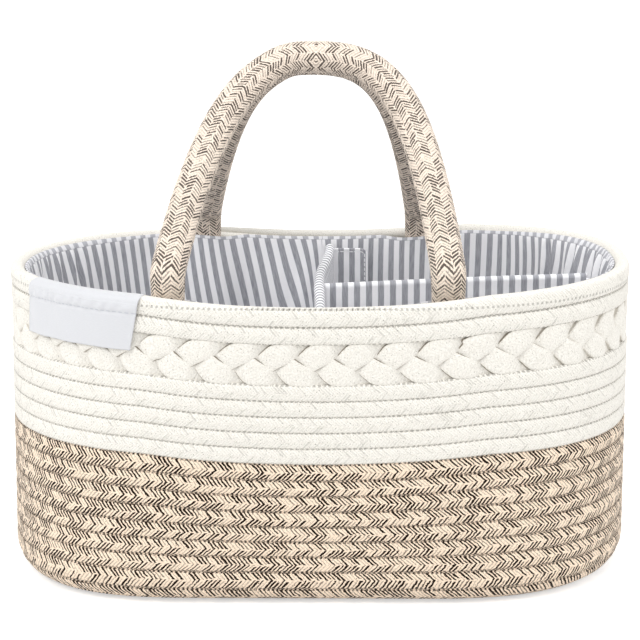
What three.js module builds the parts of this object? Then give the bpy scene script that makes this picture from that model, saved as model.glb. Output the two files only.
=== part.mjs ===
// A caddy wound from cotton rope: a flat oval base coil, a coiled wall in two colours, a plaited band,
// a two-turn rim, a striped cloth liner, a lift-out divider with cloth tabs, and two rope handles.
// Millimetres, +Z up. The origin is the middle of the flat underside and +X runs along the long side.
import * as THREE from 'three';

// Body
const bodyLength = 380;
const bodyWidth = 250;
const bodyHeight = 180;
const baseStraight = 130;
const rimStraight = 70;
const baseRoundnessShare = 0.8;
const rimRoundnessShare = 0.851;
const basePinchShare = -0.1;
const rimPinchShare = 0.22;
const footRadius = 16;
const outlineSteps = 24;
const cornerCrowdingShare = 0.3;

// Rope of the base, wall and rim
const ropeThickness = 9.14;
const brownPitch = 9.84;
const whitePitch = 9.2;
const whiteTurns = 5;
const rimPitch = 10.2;
const rimTurns = 2;
const turnGap = 0.5;
const undersideCutShare = 0.1;
const climbSteps = 6;
const tipSteps = 2;

// Plaited band
const plaitHeight = 23.2;
const plaitPeriod = 66;
const plaitSteps = 12;
const strandHeight = 7.8;
const strandDepth = 3.6;
const strandSwing = 2.82;
const strandSides = 5;
const plaitEndGap = 0.6;

// Liner
const linerThickness = 1.6;
const linerGap = 0.76;
const linerFloorGap = 0.4;
const linerFootInset = 5;
const linerTopDrop = 4;
const linerBulgeRise = 14;
const linerSideMargin = 2;
const linerSideFade = 8;
const linerSeamGap = 0.5;

// Handles
const frontFootSpacing = 154;
const backFootSpacing = 140;
const handleRise = 147;
const handleSideRoundnessShare = 0.714;
const handleTopRoundnessShare = 1.026;
const handleWidth = 20;
const handleThickness = 16;
const handleTopClearance = 0.4;
const backHandleDrop = 5;
const handleSteps = 24;
const handleSides = 8;
const handleCourseSteps = 240;
const footTurns = [1.4, 1.0, 0.5];
const pivotHeight = 12;
const pivotClearance = 0.4;

// Handle ends, flattened and sewn between the wall and the liner
const tongueThickness = 6;
const tongueLength = 62;
const tongueWidth = 20;
const seatGap = 0.4;
const tongueSeatAngle = 0.75;
const tongueLipThickness = 1.4;
const tongueLipDrop = 6;

// Divider
const dividerTopDrop = 12;
const dividerPlace = 2;
const crossThickness = 6.4;
const crossRounding = 2.4;
const armThickness = 5.6;
const armRounding = 2.4;
const armPlace = -5;
const armTurnAngle = 0.1047;
const armEndRoom = 10;
const armHingeGap = 0.6;
const clothGap = 0.4;
const cornerCut = 15;

// Cloth tabs of the divider and their hook and loop strips
const tabThickness = 1.6;
const tabWidth = 26;
const tabHeight = 110;
const tabTopDrop = 4;
const tabCornerRadius = 5;
const tabGap = 0.3;
const stripThickness = 0.9;
const stripWidth = 18;
const stripHeight = 90;
const stripInset = 3;

// Label
const labelFromShare = 0.6;
const labelToShare = 0.7;
const labelThickness = 0.8;
const labelHang = 28;
const labelGap = 0.4;
const labelTopRise = 0.5;

const tiny = 1e-9;
const halfLength = bodyLength / 2;
const halfWidth = bodyWidth / 2;
const ropeHalf = ropeThickness / 2;

function mix(low, high, share) {
  return low + (high - low) * share;
}

function clamp(value, low, high) {
  return Math.min(Math.max(value, low), high);
}

function smooth(share) {
  return share * share * (3 - 2 * share);
}

// A closed solid from points and triangles, turned so that its faces point out.
function solidFrom(points, faces) {
  let volume = 0;
  for (const [a, b, c] of faces) {
    const [p, q, r] = [points[a], points[b], points[c]];
    volume += p[0] * (q[1] * r[2] - q[2] * r[1]);
    volume += p[1] * (q[2] * r[0] - q[0] * r[2]);
    volume += p[2] * (q[0] * r[1] - q[1] * r[0]);
  }
  const turned = volume < 0 ? faces.map(([a, b, c]) => [a, c, b]) : faces;
  const geometry = new THREE.BufferGeometry();
  geometry.setAttribute('position', new THREE.Float32BufferAttribute(points.flat(), 3));
  geometry.setIndex(turned.flat());
  geometry.computeVertexNormals();
  return geometry;
}

// Triangles that close a convex ring, as a fan from its first point.
function fanCap(count) {
  const faces = [];
  for (let side = 1; side + 1 < count; side += 1) faces.push([0, side, side + 1]);
  return faces;
}

// Triangles that close a bent strip's ring, whose second half runs back along its first half.
function stripCap(count) {
  const faces = [];
  for (let side = 0; side + 1 < count / 2; side += 1) {
    const across = count - 1 - side;
    faces.push([side, side + 1, across - 1], [side, across - 1, across]);
  }
  return faces;
}

// A solid through a row of rings with the same count of points, closed by a flat cap at each end.
function loft(rings, capOf = fanCap) {
  const count = rings[0].length;
  const faces = [];
  for (let ring = 0; ring + 1 < rings.length; ring += 1) {
    for (let side = 0; side < count; side += 1) {
      const next = (side + 1) % count;
      const [a, b] = [ring * count + side, ring * count + next];
      faces.push([a, b, b + count], [a, b + count, a + count]);
    }
  }
  const last = (rings.length - 1) * count;
  for (const [a, b, c] of capOf(count)) {
    faces.push([a, c, b], [last + a, last + b, last + c]);
  }
  return solidFrom(rings.flat(), faces);
}

// A solid through a closed row of rings, whose last ring is its first again, so that it has no caps.
function shellOf(rings) {
  const count = rings[0].length;
  const points = rings.slice(0, -1).flat();
  const faces = [];
  for (let ring = 0; ring + 1 < rings.length; ring += 1) {
    const onward = ((ring + 1) % (rings.length - 1)) * count;
    for (let side = 0; side < count; side += 1) {
      const next = (side + 1) % count;
      const [a, b] = [ring * count + side, ring * count + next];
      faces.push([a, b, onward + next], [a, onward + next, onward + side]);
    }
  }
  return solidFrom(points, faces);
}

// Points along the long edges of a run of rings, each with the number of its ring.
function edgePoints(rings, splits) {
  const found = [];
  for (let ring = 0; ring + 1 < rings.length; ring += 1) {
    for (let side = 0; side < rings[ring].length; side += 1) {
      for (let part = 0; part < splits; part += 1) {
        const [from, to] = [rings[ring][side], rings[ring + 1][side]];
        found.push([...from.map((value, axis) => mix(value, to[axis], part / splits)), ring]);
      }
    }
  }
  return found;
}

// The least distance between two sets of points that are at least some rings apart.
function leastDistance(one, other, ringsApart) {
  let least = Infinity;
  for (const [x, y, z, ring] of one) {
    for (const point of other) {
      if (point[3] - ring < ringsApart) continue;
      const distance = (point[0] - x) ** 2 + (point[1] - y) ** 2 + (point[2] - z) ** 2;
      if (distance < least) least = distance;
    }
  }
  return Math.sqrt(least);
}

// Plan outline

// The outline's direction at a step, with the steps crowded towards the four corners.
function outlineAngle(step) {
  const turn = (2 * Math.PI * step) / outlineSteps;
  return turn + (cornerCrowdingShare / 4) * Math.sin(4 * turn);
}

// A corner point of the outline. The long sides have a straight stretch, the ends are squared ovals,
// and the left end is a little fuller at the base and pinched at the rim. A roundness of 1 is an ellipse.
function outlineCorner(step, inset, z) {
  const rise = clamp(z / bodyHeight, 0, 1);
  const squareness = 2 / mix(baseRoundnessShare, rimRoundnessShare, rise);
  const straight = mix(baseStraight, rimStraight, rise) / 2;
  const angle = outlineAngle(step);
  const across = Math.abs(Math.cos(angle)) < tiny ? 0 : Math.cos(angle);
  const deep = Math.abs(Math.sin(angle)) < tiny ? 0 : Math.sin(angle);
  const swell = (Math.abs(across) ** squareness + Math.abs(deep) ** squareness) ** (-1 / squareness);
  const reach = swell * Math.abs(across);
  const pinchShare = mix(basePinchShare, rimPinchShare, rise);
  const pinch = across < 0 ? 1 - pinchShare * reach ** 2 : 1;
  const x = Math.sign(across) * (straight + (halfLength - inset - straight) * reach);
  return [x, (halfWidth - inset) * swell * deep * pinch, z];
}

// A point of the outline at any step, on the straight line between its corner points.
function outlinePoint(step, inset, z) {
  const from = Math.floor(step + tiny);
  const start = outlineCorner(from, inset, z);
  const end = outlineCorner(from + 1, inset, z);
  return start.map((value, axis) => mix(value, end[axis], step - from));
}

// How far the back long side lies from the middle line at a place along it. The front is its mirror.
function sideDistance(x, inset, z) {
  for (let step = outlineSteps / 8; step < (3 * outlineSteps) / 8; step += 1) {
    const [from, to] = [outlineCorner(step, inset, z), outlineCorner(step + 1, inset, z)];
    if (from[0] >= x && to[0] <= x) {
      return mix(from[1], to[1], (from[0] - x) / (from[0] - to[0]));
    }
  }
  return 0;
}

// How far the right end lies from the middle, at a place to the back of the long middle line.
function endDistance(y, inset, z) {
  const [from, to] = [outlineCorner(0, inset, z), outlineCorner(1, inset, z)];
  return mix(from[0], to[0], (y - from[1]) / (to[1] - from[1]));
}

// Rope coils

const footRun = halfWidth - footRadius;
const footBend = footRadius - ropeHalf;
const bendLength = (footBend * Math.PI) / 2;
const rimBottom = bodyHeight - rimTurns * rimPitch;
const plaitBottom = rimBottom - plaitHeight;
const whiteBottom = plaitBottom - whiteTurns * whitePitch;

// The way along the middle of the rope layer, from the middle of the base out and up the wall.
function runAt(z) {
  return footRun + bendLength + z - footRadius;
}

const brownRun = runAt(whiteBottom);
const allBrownTurns = Math.round(brownRun / brownPitch - 0.5);
const brownTurnPitch = brownRun / (allBrownTurns + 0.5);
const wallBrownTurns = Math.floor((brownRun - footRun) / brownTurnPitch);
const baseTurns = allBrownTurns - wallBrownTurns;

// A place in the rope layer: how far in from the outer face it lies, and how high.
function layerPoint(run, outward) {
  if (run <= footRun) {
    return { inset: halfWidth - run, z: ropeHalf - outward };
  }
  const bend = Math.min((run - footRun) / footBend, Math.PI / 2);
  const radius = footBend + outward;
  const climb = Math.max(run - footRun - bendLength, 0);
  return {
    inset: footRadius - radius * Math.sin(bend),
    z: footRadius - radius * Math.cos(bend) + climb,
  };
}

// The six points of the rope's section between two places along the layer. A cut underside is wider.
function ropeRing(step, from, to, cutShare) {
  const [middle, half] = [(from + to) / 2, (to - from) / 2];
  const cutSpread = half * (1 - 0.5 / (1 + 2 * cutShare));
  const section = [
    [half, 0],
    [cutSpread, ropeHalf],
    [-cutSpread, ropeHalf],
    [-half, 0],
    [-half / 2, -ropeHalf],
    [half / 2, -ropeHalf],
  ];
  return section.map(([along, outward]) => {
    const place = layerPoint(middle + along, outward);
    return outlinePoint(step, place.inset, place.z);
  });
}

// One unbroken rope wound in turns. Each turn is level, and the rope climbs to the next turn along the
// back. The ends are cut to a slant there, so the coil starts and ends level. An open coil starts with
// its core lying straight along the middle of the base.
function coilRings(startRun, pitch, turns, cutShare, openStart) {
  const climbStart = (outlineSteps - 2 * climbSteps) / 4;
  const firstStep = openStart ? climbStart : climbStart + tipSteps;
  const lastStep = climbStart + turns * outlineSteps + climbSteps - tipSteps;
  const rings = [];
  for (let step = firstStep; step <= lastStep; step += 1) {
    const turn = Math.floor((step - climbStart) / outlineSteps);
    const way = clamp((step - climbStart - turn * outlineSteps) / climbSteps, 0, 1);
    const climbed = turn + smooth(way);
    const low = clamp(climbed - 1, openStart ? -1 : 0, turns);
    const high = clamp(climbed, 0, turns);
    const from = startRun + pitch * low + turnGap / 2;
    const to = startRun + pitch * high - turnGap / 2;
    rings.push(ropeRing(step, from, to, cutShare));
  }
  const points = edgePoints(rings, 3);
  const gap = leastDistance(points, points, outlineSteps / 2);
  return { rings, gap };
}

function coil(name, startRun, pitch, turns, cutShare = 0, openStart = false) {
  const { rings, gap } = coilRings(startRun, pitch, turns, cutShare, openStart);
  console.log(`${name}: ${turns} turns, least gap to itself ${gap.toFixed(2)} mm`);
  return loft(rings);
}

// Plaited band

const plaitMiddle = plaitBottom + plaitHeight / 2;
const plaitReach = (plaitHeight - turnGap - strandHeight) / 2;

// The outline's corner points at the band's height, with the way to each along the outline.
function bandCourse() {
  const course = [{ way: 0, step: 0 }];
  for (let step = 0; step < outlineSteps; step += 1) {
    const from = outlineCorner(step, ropeHalf, plaitMiddle);
    const to = outlineCorner(step + 1, ropeHalf, plaitMiddle);
    const length = Math.hypot(to[0] - from[0], to[1] - from[1]);
    course.push({ way: course[step].way + length, step: step + 1 });
  }
  return course;
}

const course = bandCourse();
const bandLength = course[outlineSteps].way;
const plaitPeriods = Math.round(bandLength / plaitPeriod);

function stepAt(way) {
  const index = course.findIndex((mark, i) => i > 0 && mark.way >= way - tiny);
  const [from, to] = [course[index - 1], course[index]];
  return mix(from.step, to.step, (way - from.way) / (to.way - from.way));
}

// One of the three strands: it weaves up and down once and in and out twice in each period. Its ends
// meet at the middle of the back.
function strandRings(phase) {
  const count = plaitPeriods * plaitSteps;
  const back = course[outlineSteps / 4].way;
  const rings = [];
  for (let place = 0; place <= count; place += 1) {
    const way = clamp((bandLength * place) / count, plaitEndGap / 2, bandLength - plaitEndGap / 2);
    const step = stepAt((way + back) % bandLength);
    const angle = (2 * Math.PI * place) / plaitSteps + phase;
    const height = plaitMiddle + plaitReach * Math.sin(angle);
    const outward = strandSwing * Math.sin(2 * angle);
    const ring = [];
    for (let side = 0; side < strandSides; side += 1) {
      const turn = (2 * Math.PI * side) / strandSides;
      const inset = ropeHalf - outward - (strandDepth / 2) * Math.cos(turn);
      ring.push(outlinePoint(step, inset, height + (strandHeight / 2) * Math.sin(turn)));
    }
    rings.push(ring);
  }
  return rings;
}

// Liner

const linerInset = ropeThickness + linerGap;
const linerFloor = ropeThickness + linerFloorGap;
const linerTop = bodyHeight - linerTopDrop;
const [frontSpread, backSpread] = [frontFootSpacing / 2, backFootSpacing / 2];
const footOuter = Math.max(frontSpread, backSpread) + handleWidth / 2;
const tongueTop = bodyHeight + pivotHeight - handleThickness / 2 - pivotClearance;
const tongueBottom = tongueTop - tongueLength;
const tongueOutside = sideDistance(-footOuter, ropeThickness, bodyHeight) - seatGap;
const handleLine = tongueOutside - tongueThickness / 2;
const bulgeFace = tongueOutside - tongueThickness - seatGap;

// Places along a long side where the liner bulges over a handle end, or starts to.
const bulgeHalf = tongueWidth / 2 + linerSideMargin;
function sideStations(footSpread) {
  const right = [
    { x: footSpread + bulgeHalf + linerSideFade, full: 0 },
    { x: footSpread + bulgeHalf, full: 1 },
    { x: footSpread - bulgeHalf, full: 1 },
    { x: footSpread - bulgeHalf - linerSideFade, full: 0 },
  ];
  const left = right.map(({ x, full }) => ({ x: -x, full })).reverse();
  return [...right, { x: 0, full: 0 }, ...left];
}

// One ring of the liner's cloth. A bulge of 1 clears the handle ends behind it, and 0 follows the wall.
function linerRing(inset, z, bulge, face) {
  const sidePoints = (footSpread) => sideStations(footSpread).map(({ x, full }) => {
    const straight = sideDistance(x, inset, z);
    return [x, mix(straight, Math.min(straight, face), bulge * full), z];
  });
  const ends = (from, to) => {
    const points = [];
    for (let step = from; step <= to; step += 1) points.push(outlineCorner(step, inset, z));
    return points;
  };
  const [quarter, keep] = [outlineSteps / 4, outlineSteps / 6];
  const frontPoints = sidePoints(frontSpread).map(([x, y]) => [x, -y, z]).reverse();
  return [
    ...ends(0, keep),
    ...sidePoints(backSpread),
    ...ends(2 * quarter - keep, 2 * quarter + keep),
    ...frontPoints,
    ...ends(outlineSteps - keep, outlineSteps - 1),
  ];
}

function linerSideGeometry() {
  const footTop = linerFloor + linerFootInset;
  const levels = [
    { extra: linerFootInset, z: linerFloor, bulge: 0 },
    { extra: 0, z: footTop, bulge: 0 },
    { extra: 0, z: mix(footTop, tongueBottom, 0.5), bulge: 0 },
    { extra: 0, z: tongueBottom - linerBulgeRise, bulge: 0 },
    { extra: 0, z: tongueBottom - seatGap, bulge: 1 },
    { extra: 0, z: mix(tongueBottom, linerTop, 0.5), bulge: 1 },
    { extra: 0, z: linerTop, bulge: 1 },
  ];
  const outer = levels.map(({ extra, z, bulge }) => linerRing(linerInset + extra, z, bulge, bulgeFace));
  const inner = levels.map(({ extra, z, bulge }, index) => {
    const height = index === 0 ? z + linerThickness : z;
    return linerRing(linerInset + linerThickness + extra, height, bulge, bulgeFace - linerThickness);
  });
  const rings = [...outer, ...inner.reverse()];
  return shellOf([...rings, rings[0]]);
}

// The floor panel of the liner, cut to the same slant as the edge of the side panel that it is sewn to.
function linerFloorGeometry() {
  const edge = linerInset + linerFootInset + linerSeamGap;
  return loft([
    linerRing(edge, linerFloor, 0, bulgeFace),
    linerRing(edge + linerThickness, linerFloor + linerThickness, 0, bulgeFace),
  ]);
}

// Handles

// How far a handle of some rise leans in, so that the two ropes' middles pass side by side at the top.
function leanOf(rise) {
  const firstLean = Math.asin((handleLine - handleWidth / 2) / rise);
  const wide = (handleWidth / 2) * Math.sin(firstLean);
  const deep = (handleThickness / 2) * Math.cos(firstLean);
  const halfDepth = Math.hypot(wide, deep);
  return Math.asin((handleLine - halfDepth - handleTopClearance / 2) / rise);
}

// One ring of the handle's rope, square to its course.
function handleRing(x, z, along, widthHalf, thicknessHalf) {
  const ring = [];
  for (let side = 0; side < handleSides; side += 1) {
    const turn = (2 * Math.PI * (side + 0.5)) / handleSides;
    const [wide, deep] = [widthHalf * Math.cos(turn), thicknessHalf * Math.sin(turn)];
    ring.push([x + wide * Math.cos(along), deep, z + wide * Math.sin(along)]);
  }
  return ring;
}

// The middle line of a handle from its right foot over the top to its left foot, in equal steps.
function handleCourse(rise, footSpread) {
  const fine = [];
  for (let place = 0; place <= handleCourseSteps; place += 1) {
    const turn = (Math.PI * place) / handleCourseSteps;
    const [across, up] = [Math.cos(turn), Math.max(Math.sin(turn), 0)];
    const x = footSpread * Math.sign(across) * Math.abs(across) ** handleSideRoundnessShare;
    fine.push(new THREE.Vector2(x, rise * up ** handleTopRoundnessShare));
  }
  const ways = [0];
  for (let place = 1; place < fine.length; place += 1) {
    ways.push(ways[place - 1] + fine[place].distanceTo(fine[place - 1]));
  }
  const even = [];
  for (let step = 0; step <= handleSteps; step += 1) {
    const way = (ways[ways.length - 1] * step) / handleSteps;
    const next = Math.max(ways.findIndex((mark) => mark >= way - tiny), 1);
    const share = (way - ways[next - 1]) / (ways[next] - ways[next - 1]);
    even.push(fine[next - 1].clone().lerp(fine[next], share));
  }
  return even;
}

// A handle standing upright on its two feet, each rounded about the line through the feet.
function handleGeometry(rise, footSpread) {
  const round = 1 / Math.cos(Math.PI / handleSides);
  const [widthHalf, thicknessHalf] = [(round * handleWidth) / 2, handleThickness / 2];
  const foot = (x, turn, along) => {
    const drop = -thicknessHalf * Math.sin(turn);
    return handleRing(x, drop, along, widthHalf, thicknessHalf * Math.cos(turn));
  };
  const rings = footTurns.map((turn) => foot(footSpread, turn, 0));
  const even = handleCourse(rise, footSpread);
  even.forEach(({ x, y }, place) => {
    const [before, after] = [even[Math.max(place - 1, 0)], even[Math.min(place + 1, handleSteps)]];
    const along = Math.atan2(before.x - after.x, after.y - before.y);
    const ended = place === 0 || place === handleSteps;
    rings.push(handleRing(x, y, ended ? Math.PI * Math.sign(place) : along, widthHalf, thicknessHalf));
  });
  rings.push(...[...footTurns].reverse().map((turn) => foot(-footSpread, turn, Math.PI)));
  return loft(rings);
}

// The sewn end of a handle: a flat tongue whose top is hollowed round the foot that turns over it.
function tongueGeometry() {
  const [half, low] = [tongueThickness / 2, tongueBottom - tongueTop];
  const hollow = handleThickness / 2 + pivotClearance;
  const seat = (turn) => [hollow * Math.sin(turn), hollow * (1 - Math.cos(turn))];
  const lip = seat(tongueSeatAngle);
  const outline = [
    [-half, low + half],
    [-half / 2, low],
    [half / 2, low],
    [half, low + half],
    [half, -tongueLipDrop],
    [lip[0] + tongueLipThickness, lip[1] - tongueLipThickness],
    lip,
    seat((2 * tongueSeatAngle) / 3),
    seat(tongueSeatAngle / 3),
    seat(0),
    [-half, 0],
  ];
  const shape = new THREE.Shape(outline.map(([y, z]) => new THREE.Vector2(y, z)));
  const geometry = new THREE.ExtrudeGeometry(shape, { depth: tongueWidth, bevelEnabled: false });
  geometry.translate(0, 0, -tongueWidth / 2);
  const unit = [new THREE.Vector3(), new THREE.Vector3(), new THREE.Vector3()];
  new THREE.Matrix4().extractBasis(...unit);
  geometry.applyMatrix4(new THREE.Matrix4().makeBasis(unit[1], unit[2], unit[0]));
  return geometry;
}

// Divider

const floorTop = linerFloor + linerThickness;
const dividerBottom = floorTop + clothGap;
const dividerTop = bodyHeight - dividerTopDrop;
const dividerHeight = dividerTop - dividerBottom;
const linerFace = linerInset + linerThickness;
const crossEnd = halfWidth - linerFace - clothGap;
const armAxis = dividerPlace + (crossThickness + armThickness) / 2 + armHingeGap;
const armEndPlace = armPlace + (halfLength - armAxis) * Math.sin(armTurnAngle);
const armEnd = endDistance(armEndPlace, linerFace, dividerTop) - armEndRoom;
const armReach = (armEnd - armAxis) / Math.cos(armTurnAngle);
const tabMiddle = dividerTop - tabTopDrop - tabHeight / 2;

// A padded panel standing on its long edge, from one end to the other, with rounded edges.
function panelGeometry(from, to, thickness, rounding, cutFrom, cutTo) {
  const outline = [
    [from + cutFrom, 0],
    [to - cutTo, 0],
    [to, cutTo],
    [to, dividerHeight],
    [from, dividerHeight],
    [from, cutFrom],
  ].filter(([x, z], i, all) => i === 0 || x !== all[i - 1][0] || z !== all[i - 1][1]);
  const shape = new THREE.Shape(outline.map(([x, z]) => new THREE.Vector2(x, z)));
  const geometry = new THREE.ExtrudeGeometry(shape, {
    depth: thickness - 2 * rounding,
    bevelThickness: rounding,
    bevelSize: rounding,
    bevelOffset: -rounding,
    bevelSegments: 2,
    steps: 1,
  });
  geometry.translate(0, 0, rounding - thickness / 2);
  geometry.rotateX(Math.PI / 2);
  return geometry;
}

// A cloth tab: a thin plate that runs along +X from its seam, with two round corners. Its back is at
// y = 0.
function tabGeometry() {
  const [low, high] = [-tabHeight / 2, tabHeight / 2];
  const shape = new THREE.Shape();
  shape.moveTo(0, low);
  shape.lineTo(tabWidth - tabCornerRadius, low);
  const bend = tabWidth - tabCornerRadius;
  shape.absarc(bend, low + tabCornerRadius, tabCornerRadius, -Math.PI / 2, 0, false);
  shape.absarc(bend, high - tabCornerRadius, tabCornerRadius, 0, Math.PI / 2, false);
  shape.lineTo(0, high);
  const geometry = new THREE.ExtrudeGeometry(shape, {
    depth: tabThickness,
    bevelEnabled: false,
    curveSegments: 3,
  });
  geometry.rotateX(Math.PI / 2);
  return geometry;
}

function stripGeometry() {
  return new THREE.BoxGeometry(stripWidth, stripThickness, stripHeight);
}

// Label

// A band of satin folded over the rim, with its long hang outside and its short hang down to the liner.
function labelGeometry() {
  const outside = -labelGap;
  const inside = ropeThickness + labelGap;
  const top = bodyHeight + labelTopRise;
  const shoulder = (inside - outside) / 4;
  const middleLine = [
    [outside, top - labelHang],
    [outside, top - shoulder],
    [outside + shoulder, top],
    [inside - shoulder, top],
    [inside, top - shoulder],
    [inside, linerTop + labelGap],
  ];
  const outer = middleLine.map(([inset, z], index) => {
    const spread = index < middleLine.length / 2 ? -labelThickness : labelThickness;
    const lifted = index > 0 && index + 1 < middleLine.length ? labelThickness / 2 : 0;
    return [inset + (index === 2 || index === 3 ? spread / 2 : spread), z + lifted];
  });
  const profile = [...middleLine, ...outer.reverse()];
  const [from, to] = [labelFromShare * outlineSteps, labelToShare * outlineSteps];
  const wholeSteps = [];
  for (let step = Math.ceil(from); step <= Math.floor(to); step += 1) wholeSteps.push(step);
  const steps = [from, ...wholeSteps, to];
  const rings = steps.map((step) => profile.map(([inset, z]) => outlinePoint(step, inset, z)));
  return loft(rings, stripCap);
}

// Colours and finishes

function cloth(color, roughness = 0.9) {
  return new THREE.MeshStandardMaterial({ color, roughness, metalness: 0 });
}

const brownRope = cloth(0xd8c4a8, 0.95);
const whiteRope = cloth(0xf3f1e6, 0.95);
const handleRope = cloth(0xe0ccb2, 0.9);
const stripedCotton = cloth(0xb9b9c2);
const panelCotton = cloth(0xb4b4be);
const satin = cloth(0xe9eaf0, 0.45);
const hookTape = cloth(0xdcdce0, 0.8);
const loopTape = cloth(0xd2d2d8, 1);

// Assembly

const caddy = new THREE.Group();

function add(name, geometry, material, parent = caddy) {
  const mesh = new THREE.Mesh(geometry, material);
  mesh.name = name;
  parent.add(mesh);
  return mesh;
}

function addBasket() {
  const halfTurn = brownTurnPitch / 2;
  const wallStart = halfTurn + baseTurns * brownTurnPitch;
  const baseGeometry = coil('base coil', halfTurn, brownTurnPitch, baseTurns, undersideCutShare, true);
  add('base_rope_coil', baseGeometry, brownRope);
  add('wall_rope_brown', coil('brown wall', wallStart, brownTurnPitch, wallBrownTurns), brownRope);
  add('wall_rope_white', coil('white wall', runAt(whiteBottom), whitePitch, whiteTurns), whiteRope);
  add('rim_rope_white', coil('rim', runAt(rimBottom), rimPitch, rimTurns), whiteRope);
}

function addPlait() {
  const strands = ['a', 'b', 'c'].map((letter, index) => ({
    letter,
    rings: strandRings((2 * Math.PI * index) / 3),
  }));
  const points = strands.map(({ rings }) => edgePoints(rings, 2));
  const gap = Math.min(
    leastDistance(points[0], points[1], -Infinity),
    leastDistance(points[1], points[2], -Infinity),
    leastDistance(points[2], points[0], -Infinity),
  );
  console.log(`plait: ${plaitPeriods} periods, least gap between strands ${gap.toFixed(2)} mm`);
  for (const { letter, rings } of strands) add(`braid_strand_${letter}`, loft(rings), whiteRope);
}

function addHandles() {
  const sides = [
    { name: 'front', facing: -1, rise: handleRise, spread: frontSpread },
    { name: 'back', facing: 1, rise: handleRise - backHandleDrop, spread: backSpread },
  ];
  for (const { name, facing, rise, spread } of sides) {
    const hinge = new THREE.Group();
    hinge.position.set(0, facing * handleLine, bodyHeight + pivotHeight);
    hinge.rotation.x = facing * leanOf(rise);
    caddy.add(hinge);
    add(`handle_${name}`, handleGeometry(rise, spread), handleRope, hinge);
    for (const [side, place] of [['left', -spread], ['right', spread]]) {
      const end = add(`handle_end_${name}_${side}`, tongueGeometry(), handleRope);
      end.rotation.z = facing < 0 ? 0 : Math.PI;
      end.position.set(place, facing * handleLine, tongueTop);
    }
  }
}

// A tab with its hook strip, and the loop strip that the liner carries, one behind the other along the
// tab's own +Y. The loop strip's far face lies at a given distance behind the tab.
function addFastening(name, place, turn, loopFace) {
  const group = new THREE.Group();
  group.position.set(...place);
  group.rotation.set(...turn);
  caddy.add(group);
  const along = tabWidth - stripInset - stripWidth / 2;
  add(`tab_${name}`, tabGeometry(), panelCotton, group);
  const hook = add(`hook_strip_${name}`, stripGeometry(), hookTape, group);
  hook.position.set(along, tabGap + stripThickness / 2, 0);
  const loop = add(`loop_strip_${name}`, stripGeometry(), loopTape, group);
  loop.position.set(along, loopFace - stripThickness / 2, 0);
}

function addDivider() {
  const cross = add('divider_cross_wall', panelGeometry(
    -crossEnd, crossEnd, crossThickness, crossRounding, cornerCut, cornerCut,
  ), panelCotton);
  cross.rotation.z = Math.PI / 2;
  cross.position.set(dividerPlace, 0, dividerBottom);

  const arm = add('divider_arm', panelGeometry(
    -armThickness / 2, armReach, armThickness, armRounding, 0, cornerCut,
  ), panelCotton);
  arm.rotation.z = armTurnAngle;
  arm.position.set(armAxis, armPlace, dividerBottom);

  const crossSeam = dividerPlace + crossThickness / 2 + tabGap;
  const sideFace = Math.min(
    sideDistance(crossSeam + tabWidth, linerFace, tabMiddle + tabHeight / 2),
    sideDistance(crossSeam + tabWidth, linerFace, tabMiddle - tabHeight / 2),
  ) - tabGap;
  const stack = 2 * stripThickness + 2 * tabGap;
  addFastening('back', [crossSeam, sideFace - stack, tabMiddle], [0, 0, 0], stack);
  addFastening('front', [crossSeam, stack - sideFace, tabMiddle], [Math.PI, 0, 0], stack);

  const [along, across] = [Math.cos(armTurnAngle), Math.sin(armTurnAngle)];
  const [edgeReach, edgeSide] = [armReach - armRounding, armThickness / 2 - armRounding];
  const endSeamX = armAxis + edgeReach * along + edgeSide * across + armRounding + tabGap;
  const endSeamY = armPlace + edgeReach * across - edgeSide * along;
  const endDepth = Math.max(endSeamY, tabWidth - endSeamY);
  const endFace = Math.min(
    endDistance(endDepth, linerFace, tabMiddle + tabHeight / 2),
    endDistance(endDepth, linerFace, tabMiddle - tabHeight / 2),
  ) - tabGap;
  const endTab = endSeamX + tabThickness;
  addFastening('end', [endTab, endSeamY, tabMiddle], [0, 0, -Math.PI / 2], endFace - endTab);
}

addBasket();
addPlait();
add('liner_side', linerSideGeometry(), stripedCotton);
add('liner_floor', linerFloorGeometry(), stripedCotton);
add('label', labelGeometry(), satin);
addHandles();
addDivider();

export default caddy;
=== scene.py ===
"""A coiled-rope caddy with a plaited band, a striped liner, a divider and two rope handles.

+X is along the long side, +Y from front to back and +Z up. Shapes are worked out in millimetres."""
import math

import bpy
import numpy as np
from mathutils import Matrix, Vector


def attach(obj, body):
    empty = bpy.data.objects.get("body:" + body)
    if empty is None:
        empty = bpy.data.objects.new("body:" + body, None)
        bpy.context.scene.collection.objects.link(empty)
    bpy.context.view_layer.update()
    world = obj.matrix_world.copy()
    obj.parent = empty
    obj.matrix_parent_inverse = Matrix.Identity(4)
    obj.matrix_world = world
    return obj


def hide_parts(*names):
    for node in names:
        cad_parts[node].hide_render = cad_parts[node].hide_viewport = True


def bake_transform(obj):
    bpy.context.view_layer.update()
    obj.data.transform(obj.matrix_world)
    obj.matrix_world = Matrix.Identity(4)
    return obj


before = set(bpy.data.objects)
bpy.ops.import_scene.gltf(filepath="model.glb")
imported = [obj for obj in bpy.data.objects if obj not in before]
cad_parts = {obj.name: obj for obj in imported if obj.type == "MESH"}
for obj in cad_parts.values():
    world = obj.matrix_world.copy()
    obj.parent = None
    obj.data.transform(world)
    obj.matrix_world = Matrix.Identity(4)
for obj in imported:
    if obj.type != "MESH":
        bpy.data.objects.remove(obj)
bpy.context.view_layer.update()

MM = 0.001

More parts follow.
